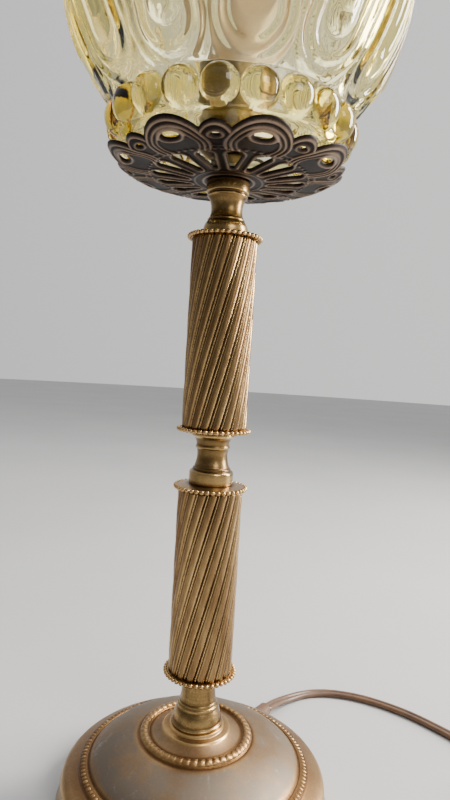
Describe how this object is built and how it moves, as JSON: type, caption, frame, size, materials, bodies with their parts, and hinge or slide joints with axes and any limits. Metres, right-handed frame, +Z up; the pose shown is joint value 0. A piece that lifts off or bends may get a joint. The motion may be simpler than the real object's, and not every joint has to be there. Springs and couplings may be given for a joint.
{
  "type": "table lamp",
  "caption": "Table lamp with a domed brass base, spiral-reeded columns, a pierced gallery and an open-topped amber glass shade, with cord, in-line switch and plug.",
  "frame": {"origin": "on the lamp's axis, at the underside of the base felt", "axes": "+Z up along the stem; -Y is the side seen in the reference view; the cord leaves towards +X +Y"},
  "size_m": [0.3815, 0.2244, 0.49],
  "materials": {
    "satin_brass": "aged satin brass with darker grooves",
    "bronze_gallery": "dark bronze patina, worn at the edges",
    "amber_glass": "pressed glass, pale amber",
    "cast_iron": "raw casting",
    "board": "pressed fibre board",
    "green_felt": "felt",
    "zinc_steel": "zinc-plated steel",
    "socket_brass": "rolled brass",
    "socket_liner_board": "fibre insulating sleeve",
    "porcelain": "glazed porcelain",
    "bulb_glass": "frosted inside",
    "bulb_cap_metal": "bright rolled metal",
    "bulb_insulator_glass": "black glass",
    "cord_plastic": "flat twin cord, bronze-gold jacket",
    "tie_plastic": "flat tie",
    "plug_plastic": "moulded, brown",
    "plug_blade_brass": "plain"
  },
  "bodies": {
    "lamp": {"base_board": "board", "base_felt": "green_felt", "base_nut": "zinc_steel", "base_shell": "satin_brass", "base_washer": "zinc_steel", "base_weight": "cast_iron", "centre_contact": "socket_brass", "coil_tie": "tie_plastic", "cord_bushing": "cord_plastic", "cord_coil": "cord_plastic", "cord_run": "cord_plastic", "cord_tail": "cord_plastic", "gallery": "bronze_gallery", "gallery_nut": "zinc_steel", "gallery_washer": "zinc_steel", "lamp_lead": "cord_plastic", "lower_column": "satin_brass", "lower_foot_cap": "satin_brass", "lower_head_cap": "satin_brass", "lower_neck": "satin_brass", "middle_neck": "satin_brass", "plug_blades": "plug_blade_brass", "plug_body": "plug_plastic", "screw_shell": "socket_brass", "socket_body": "porcelain", "socket_cap": "socket_brass", "socket_liner": "socket_liner_board", "socket_set_screw": "zinc_steel", "socket_shell": "socket_brass", "switch_contacts": "socket_brass", "switch_lower_half": "plug_plastic", "switch_pin": "zinc_steel", "switch_screws": "zinc_steel", "switch_upper_half": "plug_plastic", "terminal_screws": "socket_brass", "threaded_pipe": "zinc_steel", "upper_column": "satin_brass", "upper_foot_cap": "satin_brass", "upper_head_cap": "satin_brass", "upper_neck": "satin_brass"},
    "shade": {"glass_shade": "amber_glass"},
    "bulb_carrier": {"bulb_contact": "bulb_cap_metal"},
    "bulb": {"bulb_insulator": "bulb_insulator_glass", "bulb_cap": "bulb_cap_metal", "bulb_envelope": "bulb_glass", "bulb_stem": "bulb_glass", "filament": "bulb_cap_metal"},
    "thumb_wheel": {"switch_wheel": "plug_plastic"}
  },
  "joints": [
    {"name": "shade_lift", "type": "slide", "parent": "lamp", "child": "shade", "axis": [0, 0, 1], "range_m": [0, 0.15]},
    {"name": "bulb_rise", "type": "slide", "parent": "lamp", "child": "bulb_carrier", "axis": [0, 0, 1], "range_m": [0, 0.01453]},
    {"name": "bulb_turn", "type": "hinge", "parent": "bulb_carrier", "child": "bulb", "pos_m": [0, 0, 0.37], "axis": [0, 0, 1], "range_deg": [0, 1440]},
    {"name": "switch_turn", "type": "hinge", "parent": "lamp", "child": "thumb_wheel", "pos_m": [0.20855, 0.00877, 0.01], "axis": [0, 0, 1], "continuous": true}
  ],
  "couplings": [
    {"joint": "bulb_rise", "follows": "bulb_turn", "m_per_rad": 0.0005777}
  ]
}
